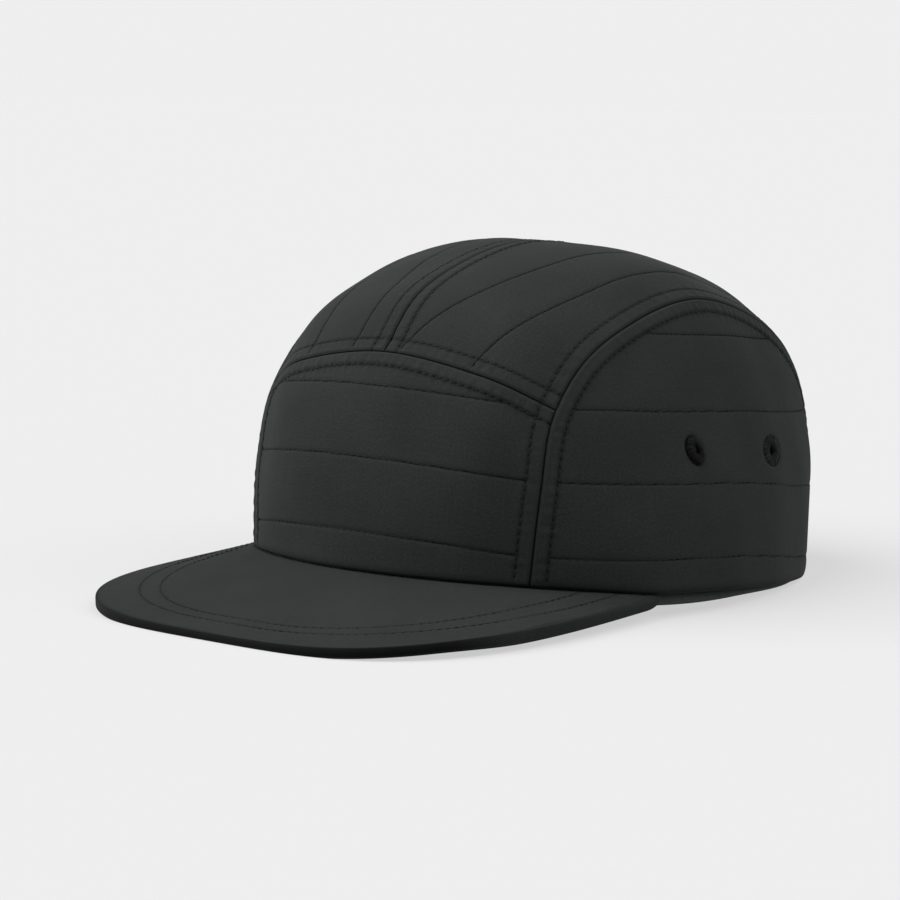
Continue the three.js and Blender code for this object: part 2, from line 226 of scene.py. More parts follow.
# The peak's covered edge: its depth, squareness, undercut and seam, and how it thins toward the ends
PEAK_EDGE = 0.8
PEAK_EDGE_POWER = 5
PEAK_EDGE_UNDERCUT = 0.2
PEAK_EDGE_SEAM = 0.18
PEAK_SEAM_LIFT = -0.3
PEAK_SEAM_WIDTH = 0.16
PEAK_TAPER = 7
PEAK_TIP = 0.35

# How much thicker the edge is on the wearer's left and right, behind the corners at the front
PEAK_FULLNESS = {"left": 0.9, "right": -1.1}
PEAK_CORNER = (-135, -105)

# Toward its back ends the upper half of the peak's edge turns rounder, over this run from an end
PEAK_ROUND_RUN = (10, 72)
PEAK_ROUND_DEPTH = 1.8
PEAK_ROUND_POWER = 2.3

# Meshes: length of each panel across and up, spacing of their points, and the rows beside a seam
PANEL_LENGTHS = {"front": (118, 64), "top": (65, 245), "side": (160, 85)}
STEP = 0.55
LONG_STEP = 0.6
LONG = 150
EDGE_ROWS = [0, 0.07, 0.2, 0.38, 0.62, 0.92, 1.3]
INNER_EVERY = 5
DENSE = 400
CHUNK = 20000

# Seeds of the random unevenness
SEEDS = {"front": 3, "left": 20, "right": 60, "side": 7, "peak": 5, "rows": 6, "band": 31}


# Small helpers

def unit(vectors):
    return vectors / np.maximum(np.linalg.norm(vectors, axis=-1, keepdims=True), 1e-12)


def mirrored(points):
    return points * np.array([-1.0, 1, 1])


def smooth(low, high, value):
    share = np.clip((value - low) / (high - low), 0, 1)
    return share * share * (3 - 2 * share)


def squared(value, squareness):
    """Sine or cosine of a turn round a squared circle."""
    return np.sign(value) * np.abs(value) ** (2 / squareness)


def hump(distance, width):
    """Rounded bump of height 1."""
    return np.exp(-((distance / width) ** 2))


def wave(share):
    return np.maximum(0, np.sin(np.pi * np.asarray(share)))


def run_of(points):
    return np.concatenate([[0], np.cumsum(np.linalg.norm(np.diff(points, axis=0), axis=1))])


def between(wanted, run, values):
    """Values at wanted places along a run."""
    return np.stack([np.interp(wanted, run, values[:, k]) for k in range(3)], -1)


def at_shares(points, shares):
    run = run_of(points)
    return between(np.asarray(shares) * run[-1], run, points)


def ripple(run, length, seed):
    """Uneven waves about that long, between -1 and 1."""
    random = np.random.default_rng(seed)
    total = np.zeros_like(run)
    for _ in range(5):
        turns = run / (length * random.uniform(0.7, 1.7))
        total += np.sin(2 * np.pi * turns + random.uniform(0, 2 * np.pi))
    return total / 3.2


def dents(points, length, seed):
    """Smooth unevenness over a surface, between about -1 and 1."""
    random = np.random.default_rng(seed)
    total = np.zeros(points.shape[:-1])
    for _ in range(9):
        direction = unit(random.normal(size=3)) / (length * random.uniform(0.6, 1.6))
        total += np.sin(2 * np.pi * points @ direction + random.uniform(0, 2 * np.pi))
    return total / 4


# Crown surface

def place(across, along, up):
    reach = FRONT_REACH if along < 0 else BACK_REACH
    return np.array([across * HALF_WIDTH, along * reach, up * CROWN_HEIGHT])


def hem_outline(angle, inset=0.0):
    """Hem in plan, at angles in degrees from the front towards the wearer's left."""
    turn = np.radians(np.asarray(angle, float))
    dx, dy = np.sin(turn), -np.cos(turn)
    reach = np.where(dy < 0, FRONT_REACH, BACK_REACH)
    power = np.where(dy < 0, FRONT_SQUARENESS, BACK_SQUARENESS)
    across = np.abs(dx / (HALF_WIDTH - inset)) ** power
    along = np.abs(dy / (reach - inset)) ** power
    radius = (across + along) ** (-1 / power)
    return np.stack([radius * dx, radius * dy, np.zeros_like(radius)], -1)


PEAK_HALF = hem_outline(PEAK_END)[0]


def hem_height(x):
    share = np.minimum(1, np.abs(x) / PEAK_HALF)
    return HEM_RISE * (1 - share**HEM_RISE_POWER)


def hem_under(points):
    """Height of the hem under points of the crown."""
    return np.where(points[..., 1] < 0, hem_height(points[..., 0]), 0)


def hem_sag(y, end):
    """How far the hem hangs lower behind the middle of the side, up to where it ends."""
    return HEM_SAG * smooth(*SAG_START, y) * (1 - smooth(*end, y))


def hem_point(angle):
    point = hem_outline(angle)
    point[..., 2] = hem_under(point)
    return point


def hem_arc(start, end, shares):
    return at_shares(hem_point(np.linspace(start, end, DENSE + 1)), shares)


def outward(points):
    reach = np.where(points[..., 1] < 0, FRONT_REACH, BACK_REACH)
    up = np.maximum(0, points[..., 2]) / CROWN_HEIGHT**2
    return unit(np.stack([points[..., 0] / HALF_WIDTH**2, points[..., 1] / reach**2, up], -1))


def spline(knots):
    """Even Catmull-Rom curve through its knots, as dense points."""
    knots = np.asarray(knots, float)
    ends = np.vstack([2 * knots[0] - knots[1], knots, 2 * knots[-1] - knots[-2]])
    t = np.linspace(0, len(knots) - 1, DENSE * (len(knots) - 1) + 1)
    i = np.minimum(t.astype(int), len(knots) - 2)
    w = (t - i)[:, None]
    a, b, c, d = ends[i], ends[i + 1], ends[i + 2], ends[i + 3]
    start, end = (c - a) / 2, (d - b) / 2
    square = 3 * (c - b) - 2 * start - end
    cube = 2 * (b - c) + start + end
    return b + start * w + square * w**2 + cube * w**3


side_knots = [hem_point(SIDE_SEAM_FRONT), *[place(*row) for row in SIDE_SEAM], hem_point(SIDE_SEAM_BACK)]
side_line = spline(side_knots)
corner_line, arch_line = side_line[: 2 * DENSE + 1], side_line[2 * DENSE :]
front_centre, front_quarter = [place(*row) for row in FRONT_SEAM]
meeting = side_knots[2]
front_knots = [mirrored(meeting), mirrored(front_quarter), front_centre, front_quarter, meeting]
whole_front_line = spline(front_knots)
front_line = whole_front_line[2 * DENSE :]
centre_line = spline([front_centre, *[place(*row) for row in CENTRE_SEAM], hem_point(180)])


def side_seam(steps):
    low = at_shares(corner_line, np.clip(steps / CORNER_SHARE, 0, 1))
    high = at_shares(arch_line, np.clip((steps - CORNER_SHARE) / ARCH_SHARE, 0, 1))
    return np.where((steps <= CORNER_SHARE)[:, None], low, high)


def patch(bottom, top, left, right, u, v):
    """Surface between four lines that share their corners. Rows run from bottom to top."""
    across, up = u[None, :, None], v[:, None, None]
    ruled = left[:, None] * (1 - across) + right[:, None] * across
    lofted = bottom[None] * (1 - up) + top[None] * up
    low = bottom[0] * (1 - across) + bottom[-1] * across
    high = top[0] * (1 - across) + top[-1] * across
    return ruled + lofted - low * (1 - up) - high * up


def tangents(grid, axis):
    grid = np.moveaxis(grid, axis, 0)
    result = np.empty_like(grid)
    result[1:-1] = grid[2:] - grid[:-2]
    result[0] = grid[1] - grid[0]
    result[-1] = grid[-1] - grid[-2]
    return np.moveaxis(result, 0, axis)


def normals_of(grid):
    normal = unit(np.cross(tangents(grid, 1), tangents(grid, 0)))
    facing = np.sum(normal * outward(grid), -1, keepdims=True)
    return np.where(facing < 0, -normal, normal)


def side_surface(u, v):
    whole = CORNER_SHARE + ARCH_SHARE
    top = side_seam(FOOT_SHARE + u * (whole - 2 * FOOT_SHARE))
    bottom = hem_arc(SIDE_SEAM_FRONT, SIDE_SEAM_BACK, u)
    grid = patch(bottom, top, side_seam(v * FOOT_SHARE), side_seam(whole - v * FOOT_SHARE), u, v)
    swell = SIDE_SWELL * wave(v**SIDE_SWELL_POWER)[:, None] * wave(u)[None] ** SIDE_SWELL_POWER
    tuck = SIDE_TUCK * wave(np.minimum(1, SIDE_TUCK_RISE * v))[:, None] * wave(u**SIDE_TUCK_BACK)[None]
    return grid + normals_of(grid) * (swell - tuck)[..., None]


def front_surface(u, v):
    side = at_shares(corner_line, v)
    bottom = hem_arc(-SIDE_SEAM_FRONT, SIDE_SEAM_FRONT, u)
    half = at_shares(front_line, np.abs(2 * u - 1))
    top = np.where((u < 0.5)[:, None], mirrored(half), half)
    grid = patch(bottom, top, mirrored(side), side, u, v)
    swell = FRONT_SWELL * wave(v)[:, None] * wave(u)[None] ** FRONT_SWELL_POWER
    return grid + normals_of(grid) * swell[..., None]


def top_surface(u, v):
    """Wearer's left half. Columns run from the centre seam out, rows from the front back."""
    bottom = at_shares(front_line, u)
    top = hem_arc(180, SIDE_SEAM_BACK, u)
    grid = patch(bottom, top, at_shares(centre_line, v), at_shares(arch_line, v), u, v)
    swell = TOP_SWELL * 4 * (u * (1 - u))[None] * wave(v)[:, None] ** TOP_SWELL_POWER
    return grid + normals_of(grid) * swell[..., None]


# Placing the cap on the floor

def peak_top(x, y):
    across = np.minimum(1, np.abs(x) / HALF_WIDTH)
    root = -FRONT_REACH * (1 - across**FRONT_SQUARENESS) ** (1 / FRONT_SQUARENESS)
    share = np.minimum(1, np.abs(x) / PEAK_HALF)
    slope = PEAK_DROP / PEAK_REACH * (1 - PEAK_SIDE_EASE * share**2)
    return hem_height(x) - PEAK_GAP - np.maximum(0, root - y) * slope


FRONT_TIP = FRONT_REACH + PEAK_REACH
PITCH = math.atan2(PEAK_DROP + PEAK_THICKNESS + PEAK_GAP - HEM_RISE, FRONT_TIP + BACK_REACH)
LIFT = BACK_REACH * math.sin(PITCH) - SETTLE


def tilted(points):
    y = points[..., 1] * math.cos(PITCH) + points[..., 2] * math.sin(PITCH)
    z = points[..., 2] * math.cos(PITCH) - points[..., 1] * math.sin(PITCH) + LIFT
    return np.stack([points[..., 0], y, z], -1)


tip = tilted(np.array([0, -FRONT_TIP, peak_top(0, -FRONT_TIP) - PEAK_THICKNESS]))
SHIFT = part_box("peak")[0].y / MM - tip[1]


def resting(points):
    """Points of the level crown where the cap rests on the floor, in metres."""
    laid = tilted(points)
    laid[..., 1] += SHIFT
    laid[..., 2] = np.maximum(0, laid[..., 2])
    return laid * MM


# Meshes

def add_object(name, data):
    thing = bpy.data.objects.new(name, data)
    bpy.context.scene.collection.objects.link(thing)
    return thing


def mesh_piece(name, points, faces, material, nodes=(), fields={}):
    """Closed smooth piece from points in metres, turned so that its faces point out."""
    points = points.reshape(-1, 3)
    fans = [[face[0], *face[k : k + 2]] for face in faces for k in range(1, len(face) - 1)]
    first, second, third = points[np.array(fans).T]
    if np.sum(first * np.cross(second, third)) < 0:
        faces = [face[::-1] for face in faces]
    mesh = bpy.data.meshes.new(name)
    mesh.from_pydata(points.tolist(), [], faces)
    for key, values in fields.items():
        attribute = mesh.attributes.new(key, "FLOAT_VECTOR", "POINT")
        attribute.data.foreach_set("vector", np.asarray(values, np.float32).ravel())
    mesh.shade_smooth()
    mesh.materials.append(material)
    piece = add_object(name, mesh)
    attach(piece, "root")
    if nodes:
        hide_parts(*nodes)
    return piece


def grid_faces(index):
    """Quads over a grid of point numbers."""
    quads = np.stack([index[:-1, :-1], index[:-1, 1:], index[1:, 1:], index[1:, :-1]], -1)
    return quads.reshape(-1, 4).tolist()


def looped_faces(index):
    """Quads over a grid of point numbers that closes on itself both ways."""
    across, down = np.roll(index, -1, 1), np.roll(index, -1, 0)
    return np.stack([index, across, np.roll(across, -1, 0), down], -1).reshape(-1, 4).tolist()


def graded(length):
    """Shares along a length, close together beside the seams and even between."""
    start = np.array(EDGE_ROWS)
    end = length - start[::-1]
    count = math.ceil((end[0] - start[-1]) / (STEP if length < LONG else LONG_STEP))
    middle = np.linspace(start[-1], end[0], count + 1)
    return np.concatenate([start[:-1], middle, end[1:]]) / length


def nearest(points, line):
    """Distance of each point to a dense line, and how far along the line it is."""
    flat = points.reshape(-1, 3)
    run = run_of(line)
    distance = np.empty(len(flat))
    along = np.empty(len(flat))
    squares = np.sum(line**2, 1)
    for start in range(0, len(flat), CHUNK):
        part = flat[start : start + CHUNK]
        k = np.argmin(squares - 2 * part @ line.T, 1)
        first = np.stack([np.maximum(k - 1, 0), np.minimum(k, len(line) - 2)])
        step = line[first + 1] - line[first]
        share = np.sum((part - line[first]) * step, -1) / np.maximum(np.sum(step**2, -1), 1e-12)
        share = np.clip(share, 0, 1)
        gap = np.linalg.norm(part - line[first] - step * share[..., None], axis=-1)
        gone = run[first] + share * (run[first + 1] - run[first])
        nearer = np.argmin(gap, 0)[None]
        distance[start : start + CHUNK] = np.take_along_axis(gap, nearer, 0)[0]
        along[start : start + CHUNK] = np.take_along_axis(gone, nearer, 0)[0]
    shape = points.shape[:-1]
    return distance.reshape(shape), along.reshape(shape)


def true_distance(field, grid):
    """A field on a grid, scaled so that it counts millimetres where it is near 0."""
    slope = np.zeros(field.shape)
    for axis in (0, 1):
        change = tangents(field[..., None], axis)[..., 0]
        slope += (change / np.maximum(np.linalg.norm(tangents(grid, axis), axis=-1), 1e-9)) ** 2
    return field / np.sqrt(np.maximum(slope, 1e-6))


def roll(distance, radius):
    """Depth of a rounded edge at a distance from it."""
    short = np.clip(radius - distance, 0, radius)
    return radius - np.sqrt(radius**2 - short**2)


# Panels

class Panel:
    """One crown panel as a fine grid, with its seams, quilting and relief."""

    def __init__(self, kind, surface, seams, quilts, seed, eyelets=()):
        u, v = [graded(length) for length in PANEL_LENGTHS[kind]]
        self.grid = surface(u, v)
        self.kind = kind
        self.eyelets = eyelets
        self.runs = [run_of(self.grid.mean(0)), run_of(self.grid.mean(1))]
        found = [nearest(self.grid, line[::4]) for line in seams]
        self.seam_distances = [distance for distance, _ in found]
        self.seam_runs = [along for _, along in found]
        self.seam = np.minimum.reduce(self.seam_distances)
        self.quilt_distances = [true_distance(field, self.grid) for field in quilts(self.grid, u, v)]
        self.quilt = np.minimum.reduce([np.abs(field) for field in self.quilt_distances])
        self.hem = self.grid[..., 2] - hem_under(self.grid)
        level = smooth(0, LEVEL_REACH, self.seam)[..., None]
        self.normal = unit(outward(self.grid) * (1 - level) + normals_of(self.grid) * level)
        self.outer = self.grid + self.normal * self.relief(seed)[..., None]
        self.outer[..., 2] -= self.sag()

    def relief(self, seed):
        seam = self.seam
        strip = smooth(*STRIP_RISE, seam) * (1 - smooth(*STRIP_FALL, seam - STITCH_INSET))
        bead = hump(seam - BEAD_PLACE, BEAD_WIDTH)
        hem_roll = HEM_ROLL + (HEM_ROLL_BACK - HEM_ROLL) * smooth(*HEM_ROLL_TURN, self.grid[..., 1])
        hem = roll(np.maximum(0, self.hem) / hem_roll, 1)
        height = SEAM_RAISE * strip + SEAM_BEAD * bead - roll(seam, SEAM_ROLL) - HEM_TUCK * hem
        for k, (distance, along) in enumerate(zip(self.seam_distances, self.seam_runs)):
            past_row = distance - STITCH_INSET
            near = smooth(*PUCKER_RISE, distance) * (1 - smooth(0, PUCKER_REACH, past_row))
            height -= STITCH_SINK * hump(past_row, STITCH_WIDTH)
            height += SEAM_PUCKER * near * ripple(along, PUCKER_LENGTH, seed + 10 * k)
        inside = smooth(*QUILT_START, seam - QUILT_END[self.kind])
        self.quilt = self.quilt + 1 - inside
        for k, distance in enumerate(self.quilt_distances):
            hollow = np.exp(-np.abs(distance) / QUILT_REACH)
            near = hollow * smooth(0, QUILT_PUCKER_RISE, np.abs(distance))
            puckers = ripple(self.quilt_run(), PUCKER_LENGTH, seed + 100 + k)
            height -= inside * (QUILT_SINK * hump(distance, QUILT_WIDTH) + QUILT_HOLLOW * hollow)
            height += QUILT_PUCKER * inside * near * puckers
        for eyelet in self.eyelets:
            height -= EYELET_DENT * hump(self.eyelet_edge(eyelet), EYELET_DENT_WIDTH)
        return height + DENT * smooth(*DENT_START, seam) * dents(self.grid, DENT_LENGTH, seed)

    def sag(self):
        return hem_sag(self.grid[..., 1], SAG_END) * (1 - smooth(0, HEM_SAG_HEIGHT, self.hem))

    def eyelet_edge(self, eyelet):
        """Distance of each point outside an oval eyelet's edge."""
        middle, axis, stretch = eyelet
        offset = self.grid - middle
        along = offset @ axis
        square = np.sum(offset**2, -1) + along**2 * (1 / stretch**2 - 1)
        return np.sqrt(square) - EYELET_HOLE_RADIUS - EYELET_WALL - EYELET_LIP

    def quilt_run(self):
        """How far along its quilting lines each point is: across a side, or back over the top."""
        across, up = np.meshgrid(*self.runs)
        return up if self.kind == "top" else across

    def fields(self):
        rows = [np.abs(distance - STITCH_INSET) for distance in self.seam_distances]
        chosen = np.argmin(rows, 0)[None]
        row = np.take_along_axis(np.array(rows), chosen, 0)[0]
        along = np.take_along_axis(np.array(self.seam_runs), chosen, 0)[0]
        across, up = np.meshgrid(*self.runs)
        zero = np.zeros(row.shape)
        # The third field marks the dark seam line and painted shade toward the hem and round each eyelet
        hem = np.clip(self.hem / HEM_SHADE_REACH, 0, 1)
        seam_and_shade = [self.seam, HEM_SHADE + HEM_SHADE_SLOPE * np.sqrt(hem)]
        for eyelet in self.eyelets:
            beside = np.abs(self.eyelet_edge(eyelet) - EYELET_SHADE_PLACE)
            seam_and_shade.append(EYELET_SHADE + EYELET_SHADE_SLOPE * beside)
        return {
            "weave": np.stack([across, up, zero], -1),
            "stitching_and_painted_shade": np.stack([along, row, np.minimum.reduce(seam_and_shade)], -1),
            "quilting": np.stack([self.quilt_run(), self.quilt, zero], -1),
        }

    def build(self, name, node, material, hand=1):
        rows, columns = self.seam.shape
        some_rows = np.unique(np.linspace(0, rows - 1, rows // INNER_EVERY).astype(int))
        some_columns = np.unique(np.linspace(0, columns - 1, columns // INNER_EVERY).astype(int))
        lining = self.grid - outward(self.grid) * CLOTH
        lining[..., 2] -= self.sag()
        lining = lining[np.ix_(some_rows, some_columns)]
        points = np.vstack([self.outer.reshape(-1, 3), lining.reshape(-1, 3)])
        outer_index = np.arange(rows * columns).reshape(rows, columns)
        inner_index = np.arange(rows * columns, len(points)).reshape(lining.shape[:2])
        faces = grid_faces(outer_index) + [face[::-1] for face in grid_faces(inner_index)]
        edges = [
            (outer_index[0], inner_index[0], some_columns, 1),
            (outer_index[-1], inner_index[-1], some_columns, -1),
            (outer_index[:, 0], inner_index[:, 0], some_rows, -1),
            (outer_index[:, -1], inner_index[:, -1], some_rows, 1),
        ]
        for outer, inner, shared, turn in edges:
            faces += [face[::turn] for face in rim_faces(outer, inner, shared)]
        fields = {}
        for key, values in self.fields().items():
            inner_values = values[np.ix_(some_rows, some_columns)].copy()
            if key != "weave":
                inner_values[..., 1:] = FAR
            fields[key] = np.vstack([values.reshape(-1, 3), inner_values.reshape(-1, 3)])
        if hand < 0:
            points = mirrored(points)
        return mesh_piece(name, resting(points), faces, material, [node], fields)


def rim_faces(outer, inner, shared):
    """Triangles from a fine edge to a coarse one, whose points lie at shared places of the fine one."""
    faces = []
    for k in range(len(shared) - 1):
        first, last = shared[k], shared[k + 1]
        middle = (first + last) // 2
        for i in range(first, last):
            faces.append([outer[i + 1], outer[i], inner[k] if i < middle else inner[k + 1]])
        faces.append([outer[middle], inner[k], inner[k + 1]])
    return faces


def wall_quilts(grid, u, v):
    """Heights over or under each level quilting line of the front and sides."""
    x, y, z = np.moveaxis(grid, -1, 0)
    seam_x = side_knots[0][0]
    front = np.where(y < side_knots[0][1], np.clip(1 - (x / seam_x) ** 2, 0, 1), 0)
    back = smooth(*QUILT_BACK, y)
    lines = zip(QUILT_LEVELS, QUILT_BACK_DROPS)
    fields = [z - QUILT_FRONT_RISE * front + drop * back - level for level, drop in lines]
    return [field for field in fields if np.any(field > 0)]


def top_quilts(hand):
    def fields(grid, u, v):
        width = np.linalg.norm(np.diff(grid, axis=1), axis=2).sum(1)
        result = []
        for table in TOP_QUILTS[hand]:
            at, share = np.array(table, float).T
            padded = np.pad(np.interp(v, at, share), 12, "edge")
            smoothed = np.convolve(padded, np.ones(25) / 25, "valid")
            result.append((u[None] - smoothed[:, None]) * width[:, None])
        return result
    return fields


# Stitches

def contour(field, values):
    """Values where a field on a grid passes 0, one row for each crossing."""
    found = []
    for axis in (0, 1):
        f, q = np.moveaxis(field, axis, 0), np.moveaxis(values, axis, 0)
        hit = (f[:-1] < 0) != (f[1:] < 0)
        share = (f[:-1][hit] / (f[:-1][hit] - f[1:][hit]))[:, None]
        found.append(q[:-1][hit] * (1 - share) + q[1:][hit] * share)
    return np.vstack(found)


def panel_row(panel, field, along, keep, hand):
    """A stitch row on a panel as runs, points and normals in order, where keep is above 0."""
    data = np.concatenate([along[..., None], panel.outer, panel.normal, keep[..., None]], -1)
    crossings = contour(field, data)
    crossings = crossings[crossings[:, 7] > 0]
    crossings = crossings[np.argsort(crossings[:, 0])]
    runs, points, normals = crossings[:, 0], crossings[:, 1:4], crossings[:, 4:7]
    if hand < 0:
        points, normals = mirrored(points), mirrored(normals)
    return runs, points, normals


def panel_rows(panel, hand=1):
    """Topstitching rows beside each seam, and quilting rows between them."""
    top, quilted = [], []
    clear_of_hem = panel.hem - 1
    for k, distance in enumerate(panel.seam_distances):
        others = [d for j, d in enumerate(panel.seam_distances) if j != k]
        keep = np.minimum.reduce([clear_of_hem, *[d - 1.2 for d in others]])
        top.append(panel_row(panel, distance - STITCH_INSET, panel.seam_runs[k], keep, hand))
    for distance in panel.quilt_distances:
        keep = np.minimum(clear_of_hem, panel.seam - QUILT_END[panel.kind] - 0.4)
        quilted.append(panel_row(panel, distance, panel.quilt_run(), keep, hand))
    return top, quilted


def stitches(name, rows, material, radius, seed):
    """Thread showing on the cloth: short bent lengths whose ends dive into it."""
    random = np.random.default_rng(seed)
    places_on = np.array([-1, -0.5, 0.5, 1])
    rings = places_on * STITCH_PITCH * STITCH_FILL / 2
    heights = np.array([-STITCH_DIVE, STITCH_LIFT, STITCH_LIFT, -STITCH_DIVE])
    sizes = np.array([0.7, 1, 1, 0.7]) * radius
    turns = 2 * np.pi * np.arange(STITCH_SIDES) / STITCH_SIDES
    points = []
    for runs, places, normals in rows:
        if len(runs) < 4:
            continue
        first = math.ceil(runs[0] / STITCH_PITCH)
        last = math.floor(runs[-1] / STITCH_PITCH)
        middles = (np.arange(first, last) + 0.5) * STITCH_PITCH
        wanted = middles[:, None] + rings[None] + random.uniform(-0.12, 0.12, (len(middles), 1))
        at = between(wanted, runs, places)
        up = unit(between(wanted, runs, normals))
        sideways = unit(np.cross(at[:, -1:] - at[:, :1], up))
        slant = random.uniform(-0.07, 0.07, (len(middles), 1)) * places_on
        at = at + up * heights[None, :, None] + sideways * slant[..., None]
        ring = np.cos(turns)[:, None] * sideways[:, :, None] + np.sin(turns)[:, None] * up[:, :, None]
        points.append((at[:, :, None] + ring * sizes[None, :, None, None]).reshape(-1, 3))
    points = np.vstack(points)
    index = np.arange(len(points)).reshape(-1, len(rings), STITCH_SIDES)
    after = np.roll(index, -1, 2)
    quads = np.stack([index[:, :-1], after[:, :-1], after[:, 1:], index[:, 1:]], -1).reshape(-1, 4)
    caps = [*index[:, 0, ::-1].tolist(), *index[:, -1].tolist()]
    mesh_piece(name, resting(points), quads.tolist() + caps, material)


# Peak

def squared_oval(half, reach, squareness, steps):
    turn = np.linspace(0, np.pi, steps + 1)
    x = -half * squared(np.cos(turn), squareness)
    y = hem_outline(PEAK_END)[1] - reach * squared(np.sin(turn), squareness)
    return np.stack([x, y, np.zeros_like(x)], -1)


def blend(start, end, shares):
    """Rows of points from one line to another."""
    return start[None] * (1 - shares[:, None, None]) + end[None] * shares[:, None, None]


def peak_lines():
    """The peak's rim and its root on the hem, in plan, with the direction out of the rim."""
    reach = FRONT_TIP + hem_outline(PEAK_END)[1]
    rim = squared_oval(PEAK_HALF, reach, PEAK_SQUARENESS, 8 * DENSE)
    root = hem_outline(np.linspace(-PEAK_END, PEAK_END, DENSE + 1), CLOTH)
    columns = np.linspace(0, 1, 361)
    rim, root = at_shares(rim, columns), at_shares(root, columns)
    along = unit(tangents(rim, 0))
    out = np.stack([along[:, 1], -along[:, 0], np.zeros(len(along))], -1)
    return rim, root, np.where(out[len(out) // 2, 1] < 0, out, -out)


def peak_piece(lines, material):
    """The covered peak, with its stitch rows along the lines."""
    rim, root, out = peak_lines()
    run = run_of(rim)
    from_end = np.minimum(run, run[-1] - run)
    round_share = 1 - smooth(*PEAK_ROUND_RUN, from_end)
    depth = PEAK_EDGE + PEAK_ROUND_DEPTH * round_share
    edge = rim - out * depth[:, None]
    shares = np.concatenate([np.linspace(0, 0.5, 18)[:-1], np.linspace(0.5, 1, 58)])
    top = blend(root, edge, shares)
    rows = [nearest(top, line) for line in lines]
    from_root = np.maximum(0, nearest(top, root)[0] - CLOTH)
    from_edge = nearest(top, edge)[0]
    relief = PEAK_DENT * dents(top, PEAK_DENT_LENGTH, SEEDS["peak"])
    for distance, along in rows:
        puckers = ripple(along, PEAK_PUCKER_LENGTH, SEEDS["rows"])
        relief -= PEAK_ROW_SINK * hump(distance, PEAK_ROW_WIDTH)
        relief += PEAK_PUCKER * hump(distance, PEAK_PUCKER_WIDTH) * puckers
    relief *= smooth(0, 0.15, shares)[:, None]
    relief[-1] = 0
    top[..., 2] = peak_top(top[..., 0], top[..., 1]) + relief

    turns = np.linspace(0, np.pi, 19)[1:-1, None]
    rounder = np.where(turns < np.pi / 2, round_share, 0)
    power = PEAK_EDGE_POWER + (PEAK_ROUND_POWER - PEAK_EDGE_POWER) * rounder
    bend, lift = squared(np.sin(turns), power), squared(np.cos(turns), power)
    seam = PEAK_EDGE_SEAM * hump(lift - PEAK_SEAM_LIFT, PEAK_SEAM_WIDTH)
    undercut = PEAK_EDGE_UNDERCUT * (1 - lift) / 2
    side = edge[None] + out[None] * (depth * bend - seam - undercut)[..., None]
    from_end = np.clip(from_end / PEAK_TAPER, 0, 1)
    aside = smooth(*PEAK_CORNER, rim[:, 1])
    to_left = np.where(rim[:, 0] > 0, aside, 0)
    fullness = PEAK_FULLNESS["left"] * to_left + PEAK_FULLNESS["right"] * (aside - to_left)
    taper = PEAK_TIP + (1 - PEAK_TIP) * np.sqrt(from_end * (2 - from_end))
    thickness = (PEAK_THICKNESS + fullness) * taper
    side[..., 2] = peak_top(side[..., 0], side[..., 1]) + thickness / 2 * (lift - 1)
    under = blend(root, edge - PEAK_EDGE_UNDERCUT * out, np.linspace(1, 0, 22))
    under[..., 2] = peak_top(under[..., 0], under[..., 1]) - thickness

    loop = np.concatenate([top, side, under])
    index = np.arange(loop[..., 0].size).reshape(loop.shape[:2])
    faces = grid_faces(index) + grid_faces(index[[-1, 0]])
    faces += [index[:, 0].tolist(), index[::-1, -1].tolist()]
    stitching_and_painted_shade = np.full(loop.shape, FAR)
    stitching_and_painted_shade[: len(top), :, 0] = np.where(rows[0][0] < rows[1][0], rows[0][1], rows[1][1])
    stitching_and_painted_shade[: len(top), :, 1] = np.minimum(rows[0][0], rows[1][0])
    # Painted shade on the top next to its root on the crown and along its edge, lighter toward the back
    # ends
    lip = LIP_SHADE + LIP_SHADE_BACK * round_share + LIP_SHADE_SLOPE * from_edge
    stitching_and_painted_shade[: len(top), :, 2] = np.minimum(from_root, lip)
    # Painted shade on the rim: deeper at the front and the wearer's right than on the left, with painted
    # light on its foot and a painted dark line along its seam
    shade = RIM_SHADE["front"] + (RIM_SHADE["left"] - RIM_SHADE["front"]) * to_left
    shade = shade + RIM_FOOT_PAINTED_LIGHT * smooth(*RIM_FOOT, -lift)
    shade = shade - RIM_SEAM_SHADE * hump(lift - PEAK_SEAM_LIFT, RIM_SEAM_SHADE_WIDTH)
    stitching_and_painted_shade[len(top) : len(top) + len(side), :, 2] = np.maximum(RIM_SHADE_LEAST, shade)
    fields = {"weave": loop, "stitching_and_painted_shade": stitching_and_painted_shade, "quilting": np.full(loop.shape, [0, FAR, 0])}
    mesh_piece("peak_cover", resting(loop), faces, material, ["peak"], fields)


def peak_rows(lines):
    """Stitch rows along the lines, which start ahead of the hem."""
    root = peak_lines()[1]
    sewn = []
    for line in lines:
        line = at_shares(line, np.linspace(0, 1, 600))
        kept = nearest(line, root)[0] > CLOTH + 1.5
        run = run_of(line)
        line[:, 2] = peak_top(line[:, 0], line[:, 1]) - PEAK_ROW_SINK
        up = np.tile([0.0, -0.2, 1], (len(line), 1))
        sewn.append((run[kept], line[kept], unit(up[kept])))
    return sewn


# Sweatband

def band_lines():
    """Rising lines of the crown from its hem, round the whole crown."""
    up = np.linspace(0, 1, 61)
    front = np.moveaxis(front_surface(np.linspace(0, 1, 119), up)[:40], 1, 0)
    side = np.moveaxis(side_surface(np.linspace(0, 1, 170), up)[:40], 1, 0)
    back = np.moveaxis(top_surface(np.linspace(0, 1, 60), np.linspace(0, 1, 161))[121:], 1, 0)
    left = np.concatenate([front[59:], side[1:], back[::-1, ::-1][1:]])
    return np.concatenate([left, mirrored(left[1:-1][::-1])])


